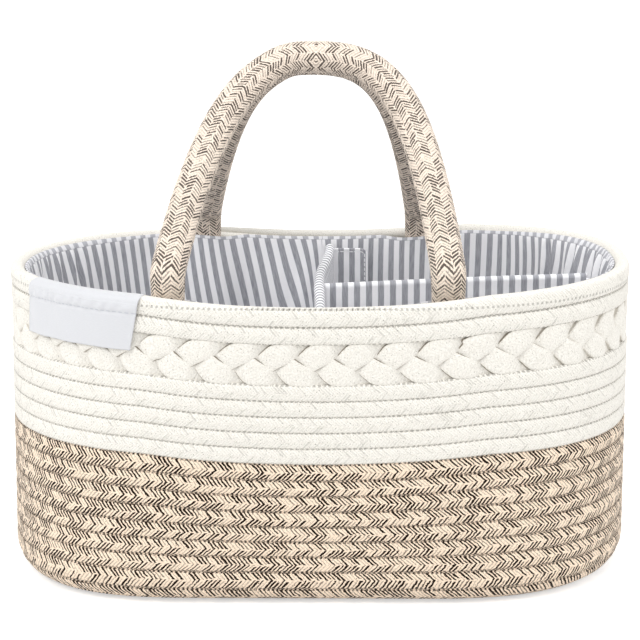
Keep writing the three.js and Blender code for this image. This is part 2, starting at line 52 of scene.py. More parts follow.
# Body outline, counted in steps: 0 is the right end, 6 the back, 12 the left end and 18 the front
STEPS = 24
BODY_LENGTH, BODY_WIDTH, BODY_HEIGHT = 380.0, 250.0, 180.0
BASE_STRAIGHT, RIM_STRAIGHT = 130.0, 70.0  # straight run in the middle of each long side
BASE_ROUNDNESS, RIM_ROUNDNESS = 0.8, 0.851  # 2 over the superellipse's power
BASE_PINCH, RIM_PINCH = -0.1, 0.22  # share by which the left end is slimmer
CORNER_CROWDING = 0.3  # how much the steps crowd at the corners
ARC_SHARE = 0.54  # share of the steps next to a long side's middle that is already round
FOOT_RADIUS = 16.0
SETTLE, SETTLE_REACH, SETTLE_FROM = 5.0, 99.0, 90.0  # sag between the ends, its reach, full height
END_LIFT, LIFT_FROM_X, LIFT_FROM_Z = 3.0, 60.0, 100.0  # the right end rises

# Ropes
ROPE = 9.14
BROWN_PITCH, WHITE_PITCH, RIM_PITCH = 9.822, 9.2, 10.2
WHITE_BOTTOM, PLAIT_BOTTOM, RIM_BOTTOM = 90.4, 136.4, 159.6
BASE_TURNS, WALL_TURNS, WHITE_TURNS, RIM_TURNS = 11, 9, 5, 2
RIM_STITCH = 175.4  # height of the last sewn row
CLIMB_FROM, CLIMB_STEPS = 3, 6  # each turn climbs to the next along the back
COIL_FINE = 12  # rings to a step
COIL_SWELL = 0.5  # how far neighbouring turns press into each other
RING_MOVE = 0.4  # least way from ring to ring
COIL_POWER, RIM_POWER, RIM_INNER_POWER = 4.2, 3.4, 2.2  # powers of the ropes' sections
VALLEY = 5.0  # way round a rope's section from its outer middle to its next turn

# Plait
PLAIT_PERIODS = 15
PLAIT_MIDDLE = (PLAIT_BOTTOM + RIM_BOTTOM) / 2
PLAIT_REACH = 7.4  # how far a strand swings up and down
PLAIT_SWING, SWING_STEEP = 1.25, 2.6  # how far and how suddenly it goes in and out
PLAIT_WIDE, PLAIT_THICK = 6.5, 2.9  # half its width and thickness
PLAIT_SWELL = 0.55  # share by which its outer side is wider
PLAIT_LIFT = 0.4
PLAIT_LIMIT, LIMIT_POWER = 12.0, 5  # half the band's height

# Cloth
LINER_INSET = 9.9
LINER_FLOOR, LINER_TOP = 9.54, 177.4
LINER_THICK = 1.2
LINER_LEVEL = 100.0  # height at which the way round the liner is measured
FOOT_LIFT, FOOT_ROUND = 0.5, 5  # gap under the liner's side and radius of its foot
HANDLE_CLEAR = 100.1  # where the liner lies over the handles' sewn ends
BULGE_REACH, BULGE_FADE = 28, 18  # how far beside an end it does so, and fades
HEM_DROP, HEM_SHIFT = 1.9, 1.9  # the hem's seam below the top, and its stripes' shift
STRIPE, THREAD = 7.5, 0.55
TAB_WIDE, TAB_LOW, TAB_HIGH, TAB_CORNER, TAB_STITCH = 26.0, 54.0, 165.5, 6.0, 2.4
TAB_DEPTH, HOOK_DEPTH = 0.8, 2.35  # from the seam's plane
STRIP_FROM, STRIP_TO, STRIP_LOW, STRIP_HIGH = 5.0, 23.0, 64.0, 154.0
LABEL_FROM, LABEL_TO = 14.15, 16.74  # steps
LABEL_DROP, LABEL_BEND, LABEL_WIDE = 31.0, 4.6, 78
LABEL_SEAM, LABEL_SLANT = 21.0, 0.07  # the seam's way from the lower edge, the right edge's slant

# Handles
HANDLE_LINE = 104.3
FRONT_SPREAD, BACK_SPREAD = 79.0, 72.0
FRONT_SHIFT, BACK_SHIFT = -4.0, -6.0
FRONT_RISE, BACK_RISE = 147.5, 145.0
PIVOT_Z, FOOT_LOW = 192.0, 124
CAD_WIDE, CAD_DEEP, CAD_GAP = 10, 8, 0.2  # the handles in the CAD: half section, half gap
ARCH_SQUARE, ARCH_RISE = 0.714, 1.026  # powers that square the arch and point its top
LEFT_SWAY, RIGHT_SWAY = 11.2, 3.6
HANDLE_EASE = 11  # rings over which its line is eased, each way
HANDLE_WIDE, HANDLE_DEEP = 9.9, 8.3  # half the section's width and depth
FOOT_WIDE, FOOT_DEEP = 9.4, 2.9  # the same at the flattened ends
HANDLE_ROUND = 57.0  # way round the section
HANDLE_SECTORS, HANDLE_PITCH, HANDLE_SLANT = 12, 2.1, 0.8  # herringbone braid

HALF_LENGTH, HALF_WIDTH, ROPE_HALF = BODY_LENGTH / 2, BODY_WIDTH / 2, ROPE / 2
FOOT_RUN = HALF_WIDTH - FOOT_RADIUS
FOOT_BEND = FOOT_RADIUS - ROPE_HALF
BEND_LENGTH = FOOT_BEND * math.pi / 2


def mix(low, high, share):
    return low + (high - low) * share


def smooth(x):
    """A smooth step from 0 to 1 as x goes from 0 to 1."""
    x = np.clip(x, 0, 1)
    return x * x * (3 - 2 * x)


def bump(x, middle, width):
    """A bell of height 1."""
    return np.exp(-((x - middle) / width) ** 2)


def way_along(line):
    """The way from the first point of a line to each of its points."""
    return np.concatenate([[0], np.cumsum(np.linalg.norm(np.diff(line, axis=0), axis=1))])


# --- Outline ---


def outline(step, inset, z):
    """Points at steps round the body, inset from its outline, at heights z above its foot."""
    step, inset, z = np.broadcast_arrays(np.asarray(step, float), inset, z)
    near = np.round((step - 6) / 12) * 12 + 6
    off = step - near
    side = np.sign(off)
    away = np.abs(off)
    arc = np.clip(1 - (1 - away) / ARC_SHARE, 0, 1)
    flat = np.clip(away / (1 - ARC_SHARE), 0, 1)
    inner = np.where(away < 1, arc, away)
    turn = 2 * np.pi * (near + side * inner) / STEPS
    angle = turn + CORNER_CROWDING / 4 * np.sin(4 * turn)
    rise = np.clip(z / BODY_HEIGHT, 0, 1)
    square = 2 / mix(BASE_ROUNDNESS, RIM_ROUNDNESS, rise)
    straight = mix(BASE_STRAIGHT, RIM_STRAIGHT, rise) / 2
    across, deep = np.abs(np.cos(angle)), np.sin(angle)
    across = np.where(across < 1e-9, 0, across)
    swell = (across ** square + np.abs(deep) ** square) ** (-1 / square)
    reach = swell * across
    direction = np.where(near % STEPS == 6, -side, side)
    direction = np.where(side == 0, 1, direction)
    pinch = np.where(direction < 0, 1 - mix(BASE_PINCH, RIM_PINCH, rise) * reach ** 2, 1)
    x = direction * (straight * flat + (HALF_LENGTH - inset - straight) * reach)
    y = (HALF_WIDTH - inset) * swell * deep * pinch
    sunk = SETTLE * np.clip(1 - (x / SETTLE_REACH) ** 2, 0, 1) ** 1.2 * smooth(z / SETTLE_FROM)
    lifted = END_LIFT * smooth((x - LIFT_FROM_X) / (HALF_LENGTH - LIFT_FROM_X))
    lifted = lifted * smooth((z - LIFT_FROM_Z) / (BODY_HEIGHT - LIFT_FROM_Z))
    return np.stack([x, y, z - sunk + lifted], -1)


def layer(run, outward):
    """Inset and height of a place in the rope layer.

    run is the way from the base's middle and up the wall, outward the distance from mid layer."""
    bend = np.clip((run - FOOT_RUN) / FOOT_BEND, 0, np.pi / 2)
    radius = FOOT_BEND + outward
    climb = np.maximum(run - FOOT_RUN - BEND_LENGTH, 0)
    flat = run <= FOOT_RUN
    inset = np.where(flat, HALF_WIDTH - run, FOOT_RADIUS - radius * np.sin(bend))
    z = np.where(flat, ROPE_HALF - outward, FOOT_RADIUS - radius * np.cos(bend) + climb)
    return inset, z


def run_at(z):
    """The run in the rope layer at a height on the wall."""
    return FOOT_RUN + BEND_LENGTH + z - FOOT_RADIUS


def steps_by_way(inset, z, count):
    """Steps at equal ways round the outline from the middle of the back, and the whole way."""
    fine = np.linspace(6, 6 + STEPS, STEPS * 60 + 1)
    way = way_along(outline(fine, inset, z))
    return np.interp(np.linspace(0, way[-1], count, endpoint=False), way, fine), way[-1]


# --- Meshes ---


def add_object(name, data):
    made = bpy.data.objects.new(name, data)
    bpy.context.scene.collection.objects.link(made)
    return made


def link(name, points, faces, place, extra=None):
    """A mesh object from points in millimetres and faces.

    place is where each face's corners lie in the pattern, in metres, and extra a second pair."""
    mesh = bpy.data.meshes.new(name)
    mesh.from_pydata((np.asarray(points, float) * MM).tolist(), [], faces)
    for layer_name, values in (("place", place), ("extra", extra)):
        if values is not None:
            values = np.asarray(values, np.float32).ravel()
            mesh.uv_layers.new(name=layer_name).data.foreach_set("uv", values)
    mesh.validate()
    mesh.shade_smooth()
    return add_object(name, mesh)


def tube_parts(rings, uv, looped=False):
    """Points, faces and places in the pattern of a tube through rings of points.

    uv has one more column than a ring, and a looped tube's has one more row than there are rings."""
    count, sides = rings.shape[:2]
    points = rings.reshape(-1, 3)
    r, s = np.meshgrid(np.arange(count if looped else count - 1), np.arange(sides), indexing="ij")
    r, s = r.ravel(), s.ravel()
    r2, s2 = (r + 1) % count, (s + 1) % sides
    faces = np.stack([r * sides + s, r * sides + s2, r2 * sides + s2, r2 * sides + s], 1)
    corners = np.stack([uv[r, s], uv[r, s + 1], uv[r + 1, s + 1], uv[r + 1, s]], 1)
    a, b, c, d = (points[faces[:, i]] for i in range(4))
    signed = np.einsum("ij,ij->", a, np.cross(b, c)) + np.einsum("ij,ij->", a, np.cross(c, d))
    if signed < 0:
        faces, corners = faces[:, ::-1], corners[:, ::-1]
    faces, corners = faces.tolist(), corners.reshape(-1, 2)
    if not looped:
        ends = [list(range(sides)), list(range((count - 1) * sides, count * sides))]
        ends[0 if signed > 0 else 1].reverse()
        faces += ends
        flat = [np.tile(uv[0, 0], (sides, 1)), np.tile(uv[-1, 0], (sides, 1))]
        corners = np.concatenate([corners, *flat])
    return points, faces, corners


def section_turn(sides):
    """Angles round a section, from its inner middle."""
    return 2 * np.pi * np.arange(sides) / sides - np.pi / 2


def section(sides, power, inner_power):
    """A rounded section, as shares of its half width and half depth."""
    turn = section_turn(sides)
    square = np.where(np.sin(turn) < 0, inner_power, power)
    along = np.sign(np.cos(turn)) * np.abs(np.cos(turn)) ** (2 / square)
    outward = np.sign(np.sin(turn)) * np.abs(np.sin(turn)) ** (2 / square)
    return -along, outward


def pattern(along, around):
    """Places in the pattern from the ways along and around, in metres."""
    return np.stack(np.broadcast_arrays(along, around), -1) * MM


def rope_place(along, outward):
    """The way round a section from its outer middle, with the seam at its inner middle."""
    ring = np.concatenate([np.stack([along, outward], -1), [[along[0], outward[0]]]])
    way = way_along(ring)
    return way - way[-1] / 2


def coil(start, pitch, turns, opened=False, sides=20, power=COIL_POWER, inner_power=COIL_POWER):
    """One unbroken rope wound in level turns that climb to the next turn along the back.

    Its ends are tapered, apart from an opened coil's first end, which is the middle of the base."""
    first = CLIMB_FROM if opened else CLIMB_FROM + 1
    last = CLIMB_FROM + turns * STEPS + 4
    steps = np.arange(first * COIL_FINE, last * COIL_FINE + 1) / COIL_FINE
    turn = np.floor((steps - CLIMB_FROM) / STEPS + 1e-9)
    climbed = turn + smooth((steps - CLIMB_FROM - turn * STEPS) / CLIMB_STEPS)
    low = start + pitch * np.clip(climbed - 1, -1 if opened else 0, turns)
    high = start + pitch * np.clip(climbed, 0, turns)
    middle, half = (low + high) / 2, (high - low) / 2
    along, outward = section(sides, power, inner_power)
    half_depth = np.minimum(ROPE_HALF, half + COIL_SWELL)[:, None]
    width = (half + COIL_SWELL)[:, None] * along
    inset, z = layer(middle[:, None] + width, half_depth * outward + (ROPE_HALF - half_depth))
    rings = outline(steps[:, None], inset, z)
    moved = np.concatenate([[1.0], np.abs(np.diff(rings, axis=0)).max((1, 2))])
    keep = moved > RING_MOVE
    rings, half, middle = rings[keep], half[keep], middle[keep]
    inset, z = layer(middle, np.full(len(middle), ROPE_HALF))
    way = way_along(outline(steps[keep], inset, z))
    place = np.stack([
        rope_place(w * along, ROPE_HALF * outward) * VALLEY / w for w in np.maximum(half, 1)
    ])
    return tube_parts(rings, pattern(way[:, None], place))


# --- Materials ---


def rgb(*screen):
    """A colour given in screen values from 0 to 255."""
    shares = [value / 255 for value in screen]
    linear = [v / 12.92 if v <= 0.04045 else ((v + 0.055) / 1.055) ** 2.4 for v in shares]
    return (*linear, 1.0)


class Finish:
    """A node material with short names for the nodes that it uses."""

    def __init__(self, name, roughness=0.9, sheen=0.0, specular=0.3):
        self.material = bpy.data.materials.new(name)
        self.material.use_nodes = True
        self.tree = self.material.node_tree
        self.shader = self.tree.nodes["Principled BSDF"]
        self.shader.inputs["Roughness"].default_value = roughness
        self.shader.inputs["Specular IOR Level"].default_value = specular
        if sheen:
            self.shader.inputs["Sheen Weight"].default_value = sheen
            self.shader.inputs["Sheen Roughness"].default_value = 0.5

    def put(self, socket, value):
        if isinstance(value, bpy.types.NodeSocket):
            self.tree.links.new(value, socket)
        elif value is not None:
            socket.default_value = value

    def node(self, kind, **inputs):
        made = self.tree.nodes.new(kind)
        for key, value in inputs.items():
            self.put(made.inputs[key.replace("_", " ")], value)
        return made

    def math(self, operation, a, b=None):
        made = self.tree.nodes.new("ShaderNodeMath")
        made.operation = operation
        self.put(made.inputs[0], a)
        self.put(made.inputs[1], b)
        return made.outputs[0]

    def add(self, a, b):
        return self.math("ADD", a, b)

    def sub(self, a, b):
        return self.math("SUBTRACT", a, b)

    def mul(self, a, b):
        return self.math("MULTIPLY", a, b)

    def absolute(self, a):
        return self.math("ABSOLUTE", a)

    def split(self, vector):
        return self.node("ShaderNodeSeparateXYZ", Vector=vector).outputs

    def place(self, layer_name="place"):
        """The place in the pattern, in millimetres."""
        made = self.node("ShaderNodeUVMap")
        made.uv_map = layer_name
        uv = self.split(made.outputs[0])
        return self.mul(uv[0], 1 / MM), self.mul(uv[1], 1 / MM)

    def combine(self, x=0.0, y=0.0, z=0.0):
        return self.node("ShaderNodeCombineXYZ", X=x, Y=y, Z=z).outputs[0]

    def noise(self, vector, scale=1.0, detail=2.0, rough=0.5):
        return self.node(
            "ShaderNodeTexNoise", Vector=vector, Scale=scale, Detail=detail, Roughness=rough,
        ).outputs[0]

    def grain(self, u, v, along, across, seed=0.0, detail=2.0):
        """Noise that is stretched along or across the pattern."""
        return self.noise(self.combine(self.mul(u, along), self.mul(v, across), seed), 1.0, detail)

    def sway(self, noise, size):
        """Noise that swings by size about zero."""
        return self.mul(self.sub(noise, 0.5), size)

    def random(self, vector):
        """Three random values for a vector, from 0 to 1."""
        return self.split(self.node("ShaderNodeTexWhiteNoise", Vector=vector).outputs[1])

    def ramp(self, value, low, high, to_low=0.0, to_high=1.0, kind="SMOOTHSTEP"):
        made = self.tree.nodes.new("ShaderNodeMapRange")
        made.interpolation_type = kind
        for socket, given in zip(made.inputs, (value, low, high, to_low, to_high)):
            self.put(socket, given)
        return made.outputs[0]

    def blend(self, factor, a, b):
        made = self.tree.nodes.new("ShaderNodeMix")
        made.data_type = "RGBA"
        self.put(made.inputs[0], factor)
        self.put(made.inputs[6], a)
        self.put(made.inputs[7], b)
        return made.outputs[2]

    def position(self):
        return self.node("ShaderNodeTexCoord").outputs["Object"]

    def done(self, color, height=None, distance=0.3, strength=1.0):
        self.put(self.shader.inputs["Base Color"], color)
        if height is not None:
            relief = self.node(
                "ShaderNodeBump", Height=height, Strength=strength, Distance=distance * MM
            )
            self.tree.links.new(relief.outputs[0], self.shader.inputs["Normal"])
        return self.material


CREAM, PEACH, FLECK = rgb(251, 235, 215), rgb(234, 208, 182), rgb(30, 16, 6)
WHITE, SHADE, GREY = rgb(244, 241, 234), rgb(226, 222, 213), rgb(120, 117, 108)
WHITE_STITCH = rgb(112, 109, 101)
STRIPE_GREY, WORN_GREY = rgb(152, 153, 160), rgb(180, 181, 187)
STRIPE_WHITE, SLUB_WHITE = rgb(255, 255, 255), rgb(246, 246, 251)
HEM_SEAM, HEM_GREY, TAB_THREAD = rgb(110, 110, 118), rgb(190, 190, 196), rgb(250, 250, 252)
# The plait's painted shade along its strands' edges and painted shadow in their creases
PLAIT_SHADE, PLAIT_CREASE_SHADOW = rgb(186, 177, 160), rgb(96, 84, 66)
HANDLE_PALE, HANDLE_TINT = rgb(247, 234, 220), rgb(232, 214, 196)
HANDLE_THREAD, HANDLE_SPECK = rgb(42, 31, 25), rgb(60, 46, 38)
SATIN_WHITE, SATIN_SHADE, SATIN_THREAD = rgb(210, 211, 214), rgb(198, 199, 203), rgb(170, 172, 184)


def braid(f, u, v, pitch, width, slant, seed, wander=0.5):
    """Slanted strands in mirrored rows: dark threads, a random share for each strand, height."""
    u = f.add(u, f.sway(f.grain(u, v, 0.35, 0.35, seed), 2 * wander))
    ragged = f.grain(u, v, 1.6, 1.6, seed, 1.0)
    u = f.add(u, f.sway(ragged, 0.7))
    zig = f.math("PINGPONG", v, width)
    phase = f.math("DIVIDE", f.add(u, f.mul(zig, slant)), pitch)
    cell = f.math("FLOOR", phase)
    row = f.math("FLOOR", f.math("DIVIDE", v, width))
    begin, end, chance = f.random(f.combine(cell, row, seed))
    along = f.math("DIVIDE", zig, width)
    off = f.absolute(f.sub(f.math("FRACT", phase), 0.5))
    thick = f.ramp(chance, 0.0, 1.0, 0.12, 0.34, "LINEAR")
    thick = f.add(thick, f.sway(ragged, 0.4))
    line = f.ramp(off, f.sub(thick, 0.06), f.add(thick, 0.06), 1.0, 0.0)
    start = f.ramp(begin, 0.0, 1.0, -0.5, 0.2, "LINEAR")
    stop = f.ramp(end, 0.0, 1.0, 0.8, 1.5, "LINEAR")
    line = f.mul(line, f.ramp(along, start, f.add(start, 0.08)))
    line = f.mul(line, f.ramp(along, f.sub(stop, 0.08), stop, 1.0, 0.0))
    return line, chance, f.ramp(off, 0.02, 0.4)


def specks(f, u, v, seed, low, high):
    """Small specks of seed husk in undyed cotton."""
    return f.ramp(f.grain(u, v, 1.3, 1.1, seed, 1.0), low, high)


def rope_finish(
    name, base, tint, fleck, stitch, faint, presence, stitch_share, seed, speck,
    depth=1.0, stitch_length=1.5, stitch_wide=1.1, pitch=2.0, wander=0.5, top=None,
):
    """Cotton rope sewn course to course: herringbone strands, flecks and stitches in the valleys.

    faint is how dark every strand's edge is, presence the share of strands with a dark thread, and
    depth how dark that is. top is the height of the last sewn row, a zigzag."""
    f = Finish(name, roughness=0.92, sheen=0.1, specular=0.12)
    u, v = f.place()
    off = f.absolute(v)
    line, chance, strand = braid(f, u, v, pitch, VALLEY, 1.0, seed, wander)
    chance = f.add(chance, f.sway(f.grain(u, v, 0.12, 0.2, seed + 7), 0.3))
    shown = f.mul(line, f.ramp(chance, 0.8 - presence, 1.1 - presence, faint, 1.0))
    shown = f.mul(shown, f.ramp(off, VALLEY - 0.9, VALLEY - 0.4, 1.0, 0.25))
    fine = f.noise(f.combine(u, f.mul(v, 1.3), seed), 1.7, 3.0, 0.6)
    color = f.blend(f.ramp(fine, 0.35, 0.7), base, tint)
    color = f.blend(f.mul(shown, depth), color, fleck)
    color = f.blend(f.mul(specks(f, u, v, seed, 0.64, 0.72), speck), color, fleck)
    reach = f.add(off, f.sway(fine, 1.2))
    edge = f.mul(
        f.ramp(reach, VALLEY - stitch_wide, VALLEY - stitch_wide + 0.4),
        f.ramp(reach, VALLEY + 0.8, VALLEY + 1.2, 1.0, 0.0),
    )
    dash = f.ramp(f.math("PINGPONG", f.add(u, f.mul(fine, 3.0)), stitch_length), 0.35, 0.7)
    knot = f.ramp(f.noise(f.combine(f.mul(u, 0.7), f.math("SIGN", v), seed)), 0.35, 0.55, 0.25, 1.0)
    sewn = f.mul(f.mul(f.mul(edge, dash), knot), stitch_share)
    if top:
        level = f.mul(f.split(f.position())[2], 1 / MM)
        sewn = f.mul(sewn, f.ramp(level, top, top + 0.5, 1.0, 0.0))
        zigzag = f.ramp(f.absolute(f.sub(level, top)), 0.5, 0.9, 0.45, 0.0)
        zigzag = f.mul(zigzag, f.ramp(reach, VALLEY + 1.5, VALLEY + 2.0, 1.0, 0.0))
        sewn = f.add(sewn, f.mul(zigzag, f.ramp(f.math("PINGPONG", f.add(u, fine), 1.5), 0.6, 1.0)))
    color = f.blend(sewn, color, stitch)
    return f.done(color, f.add(f.mul(strand, 0.6), f.mul(fine, 0.5)), 0.35, 0.8)


brown_rope = rope_finish(
    "brown_rope", CREAM, PEACH, FLECK, FLECK, faint=0.4, presence=0.68, stitch_share=1.0, seed=3.0,
    speck=0.9, stitch_length=1.3, stitch_wide=1.4, pitch=2.45, wander=0.9,
)
white_look = dict(
    base=WHITE, tint=SHADE, fleck=GREY, stitch=WHITE_STITCH,
    faint=0.28, presence=0.03, stitch_share=0.6, seed=5.0, depth=0.32, speck=0.7,
)
white_rope = rope_finish("white_rope", **white_look)
rim_rope = rope_finish("rim_rope", top=RIM_STITCH, **white_look)


def cloth_weave(f):
    """The place in the pattern, the height of a fine plain weave, and its uneven threads."""
    u, v = f.place()
    warp = f.math("SINE", f.mul(u, 2 * math.pi / THREAD))
    weft = f.math("SINE", f.mul(v, 2 * math.pi / THREAD))
    slub = f.grain(u, v, 0.6, 3.0)
    return u, v, f.add(f.mul(f.mul(warp, weft), 0.5), slub), slub


def dashes(f, off, run, length, low, high):
    """A row of stitches: off is the distance from its line and run the way along it."""
    line = f.ramp(f.absolute(off), 0.2, low, 1.0, 0.0)
    return f.mul(line, f.ramp(f.math("PINGPONG", run, length), *high))


def striped_finish(name, hem=None, stitch_at=None):
    """Ticking stripes along v. Above hem they are a little off those below, with a seam between.

    stitch_at is the distance of a row of stitches from the edges."""
    f = Finish(name, roughness=0.85, sheen=0.1, specular=0.2)
    u, v, weave, slub = cloth_weave(f)
    if hem:
        u = f.add(u, f.ramp(v, hem - 0.05, hem + 0.05, 0.0, HEM_SHIFT))
    wave = f.math("PINGPONG", u, STRIPE / 2)
    band = f.ramp(wave, STRIPE / 4 - 0.2, STRIPE / 4 + 0.2)
    thread = f.ramp(f.grain(u, v, 2.5, 0.15), 0.3, 0.7)
    grey = f.blend(thread, STRIPE_GREY, WORN_GREY)
    pale = f.blend(slub, STRIPE_WHITE, SLUB_WHITE)
    color = f.blend(band, grey, pale)
    if hem:
        seam = f.ramp(f.absolute(f.sub(v, hem)), 0.1, 0.4, 0.35, 0.0)
        color = f.blend(seam, color, HEM_SEAM)
        color = f.blend(f.ramp(v, hem, hem + 0.1, 0.0, 0.4), color, HEM_GREY)
    if stitch_at:
        edge, run = f.place("extra")
        row = dashes(f, f.sub(edge, stitch_at), run, 1.6, 0.4, (0.3, 0.6))
        color = f.blend(row, color, TAB_THREAD)
    return f.done(color, weave, 0.12, 0.5)


striped = striped_finish("striped_cotton")
stitched = striped_finish("striped_tab", stitch_at=TAB_STITCH)
lining = striped_finish("striped_lining", hem=LINER_TOP - HEM_DROP)


def plait_finish():
    """Felted cotton, with painted shade along a strand's edges and a painted crease shadow that
    fades at the body's ends.
    """
    f = Finish("plait_cotton", roughness=0.95, sheen=0.15, specular=0.1)
    u, v = f.place()
    line, _, strand = braid(f, u, v, 1.9, 3.1, 0.8, 9.0)
    fine = f.noise(f.combine(u, v, 4.0), 1.4, 3.0, 0.6)
    color = f.blend(f.ramp(fine, 0.3, 0.75), WHITE, SHADE)
    color = f.blend(f.mul(line, 0.07), color, GREY)
    color = f.blend(f.mul(specks(f, u, v, 9.0, 0.64, 0.72), 0.5), color, GREY)
    edge = f.add(f.absolute(v), f.sway(fine, 0.8))
    # Painted shade: the colour darkens towards a strand's edges
    shade = f.ramp(edge, PLAIT_WIDE - 1.2, PLAIT_WIDE + 0.4, 0.0, 0.25)
    color = f.blend(shade, color, PLAIT_SHADE)
    # Painted shadow in the crease at a strand's edge, weaker towards the body's ends
    crease = f.ramp(edge, PLAIT_WIDE - 0.4, PLAIT_WIDE + 0.3, 0.0, 0.9)
    crease = f.mul(crease, f.ramp(edge, PLAIT_WIDE + 0.7, PLAIT_WIDE + 1.5, 1.0, 0.3))
    sideways = f.absolute(f.split(f.position())[0])
    crease = f.mul(crease, f.ramp(sideways, 0.1, 0.165, 1.0, 0.25))
    color = f.blend(crease, color, PLAIT_CREASE_SHADOW)
    return f.done(color, f.add(f.mul(strand, 0.35), fine), 0.4, 0.8)


plait_cotton = plait_finish()


def handle_finish():
    """Herringbone rope whose strands nearly all have a dark thread."""
    f = Finish("handle_rope", roughness=0.9, sheen=0.15, specular=0.2)
    u, v = f.place()
    width = HANDLE_ROUND / HANDLE_SECTORS
    row = f.add(v, width / 2)
    line, chance, strand = braid(f, u, row, HANDLE_PITCH, width, HANDLE_SLANT, 11.0, 0.4)
    shown = f.mul(line, f.ramp(chance, 0.0, 0.6, 0.3, 0.9))
    fine = f.noise(f.combine(u, v, 2.0), 1.6, 3.0, 0.6)
    color = f.blend(f.ramp(fine, 0.3, 0.75), HANDLE_PALE, HANDLE_TINT)
    color = f.blend(shown, color, HANDLE_THREAD)
    color = f.blend(f.mul(specks(f, u, v, 6.0, 0.62, 0.7), 0.6), color, HANDLE_SPECK)
    return f.done(color, f.add(f.mul(strand, 0.7), f.mul(fine, 0.4)), 0.35, 0.7)


handle_rope = handle_finish()


def satin_finish():
    """Bare satin with one row of stitches across it."""
    f = Finish("satin", roughness=0.42, sheen=0.3, specular=0.45)
    u, v, weave, slub = cloth_weave(f)
    color = f.blend(slub, SATIN_WHITE, SATIN_SHADE)
    row = dashes(f, f.sub(v, LABEL_SEAM), u, 1.5, 0.45, (0.4, 0.8))
    color = f.blend(f.mul(row, 0.55), color, SATIN_THREAD)
    return f.done(color, weave, 0.05, 0.4)


satin = satin_finish()


def tape_finish(name, low, high, scale):
    """Hook or loop tape: a grain of the given scale, to a metre."""
    f = Finish(name, roughness=0.9, specular=0.2)
    grain = f.noise(f.position(), scale, 2.0, 0.7)
    return f.done(f.blend(f.ramp(grain, 0.35, 0.65), low, high), grain, 0.5, 0.8)


hook_tape = tape_finish("hook_tape", rgb(205, 206, 212), rgb(236, 237, 241), 900.0)
loop_tape = tape_finish("loop_tape", rgb(214, 215, 222), rgb(240, 240, 245), 500.0)


def finish(piece, material, replaced, body="root"):
    """Give a piece its material and body, and hide the nodes that it takes the place of."""
    piece.data.materials.append(material)
    if body:
        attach(piece, body)
    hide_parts(*replaced)


# --- Rope body ---


def add_coil(name, material, slot, node, start, pitch, turns, **options):
    piece = link(name, *coil(start, pitch, turns, **options))
    finish(piece, material, (node,))


half_turn = BROWN_PITCH / 2
add_coil(
    "base_rope", brown_rope, "brown_rope", "base_rope_coil",
    half_turn, BROWN_PITCH, BASE_TURNS, opened=True, sides=16,
)
add_coil(
    "wall_brown", brown_rope, "brown_rope", "wall_rope_brown",
    half_turn + BASE_TURNS * BROWN_PITCH, BROWN_PITCH, WALL_TURNS,
)
add_coil(
    "wall_white", white_rope, "white_rope", "wall_rope_white",
    run_at(WHITE_BOTTOM), WHITE_PITCH, WHITE_TURNS,
)
add_coil(
    "rim_white", rim_rope, "white_rope", "rim_rope_white",
    run_at(RIM_BOTTOM), RIM_PITCH, RIM_TURNS, power=RIM_POWER, inner_power=RIM_INNER_POWER,
)

# --- Plait ---


def plait_strand(phase, per_period=48, sides=28):
    """A strand that swings up and down once to a period, and out and in twice, all the way round."""
    count = PLAIT_PERIODS * per_period
    steps, length = steps_by_way(ROPE_HALF, PLAIT_MIDDLE, count)
    angle = 2 * np.pi * np.arange(count) / per_period + phase
    rise = PLAIT_REACH * np.sin(angle)
    out = PLAIT_SWING * np.tanh(SWING_STEEP * np.sin(2 * angle)) / math.tanh(SWING_STEEP)
    tilt = np.arctan(PLAIT_REACH * np.cos(angle) * 2 * np.pi * PLAIT_PERIODS / length)
    turn = 2 * np.pi * np.arange(sides) / sides
    wide = np.sign(np.sin(turn)) * np.abs(np.sin(turn)) ** 0.55 * PLAIT_WIDE
    thick = -np.sign(np.cos(turn)) * np.abs(np.cos(turn)) ** 0.6 * PLAIT_THICK
    outside = np.clip(np.sin(angle)[:, None] * np.sign(wide)[None, :], 0, 1)
    spread = wide[None, :] * (1 + PLAIT_SWELL * outside)
    up = rise[:, None] + spread * np.cos(tilt)[:, None]
    held = np.tanh(np.abs(up / PLAIT_LIMIT) ** LIMIT_POWER) ** (1 / LIMIT_POWER)
    soft = PLAIT_LIMIT * held * np.sign(up)
    per_step = np.gradient(steps) / (length / count)
    moved = steps[:, None] - spread * np.sin(tilt)[:, None] * per_step[:, None]
    moved = np.where(moved >= 6 + STEPS, moved - STEPS, moved)
    inset = ROPE_HALF - out[:, None] - PLAIT_LIFT - thick * (0.92 + 0.08 * np.cos(turn))
    rings = outline(moved, inset, PLAIT_MIDDLE + soft)
    way = np.arange(count + 1) * length / count
    return tube_parts(rings, pattern(way[:, None], rope_place(wide, thick)), looped=True)


for number, letter in enumerate("abc"):
    strand = link("plait_" + letter, *plait_strand(2 * math.pi * number / 3))
    finish(strand, plait_cotton, ("braid_strand_" + letter,))

# --- Liner ---


def bulge_share(x, y):
    """1 where the liner lies over a handle's sewn end, fading to 0 beside it."""
    spread = np.where(y > 0, BACK_SPREAD, FRONT_SPREAD)
    shift = np.where(y > 0, BACK_SHIFT, FRONT_SHIFT)
    return smooth((BULGE_REACH - np.abs(np.abs(x - shift) - spread)) / BULGE_FADE)


